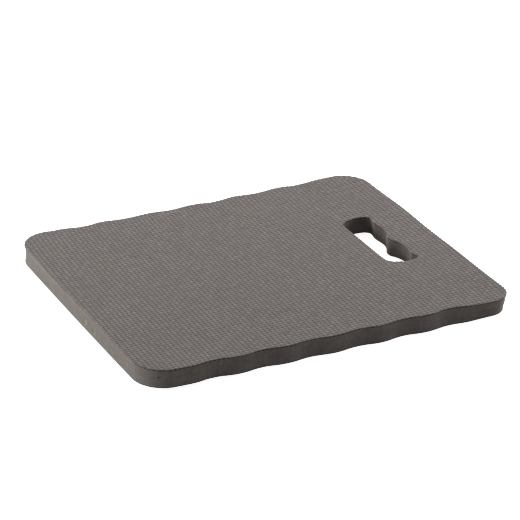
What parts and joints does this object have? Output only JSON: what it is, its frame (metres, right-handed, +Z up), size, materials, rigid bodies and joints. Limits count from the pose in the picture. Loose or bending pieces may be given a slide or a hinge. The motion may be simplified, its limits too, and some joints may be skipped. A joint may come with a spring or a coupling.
{
  "type": "kneeling pad",
  "caption": "Flat laminated foam kneeling pad for garden work, with scalloped long sides, round corners, woven-look embossed faces and a hand slot with finger grips near one end.",
  "frame": {"origin": "centre of the pad's underside", "axes": "+X along the pad towards the handle slot, +Y across the pad, +Z up out of the face that is knelt on"},
  "size_m": [0.4, 0.32, 0.02],
  "materials": {
    "face_foam": "matte embossed closed-cell foam skin, warm grey",
    "core_foam": "matte cut closed-cell foam, warm dark grey"
  },
  "bodies": {
    "root": {"top_face_sheet": "face_foam", "foam_core": "core_foam", "base_face_sheet": "face_foam"}
  },
  "joints": []
}
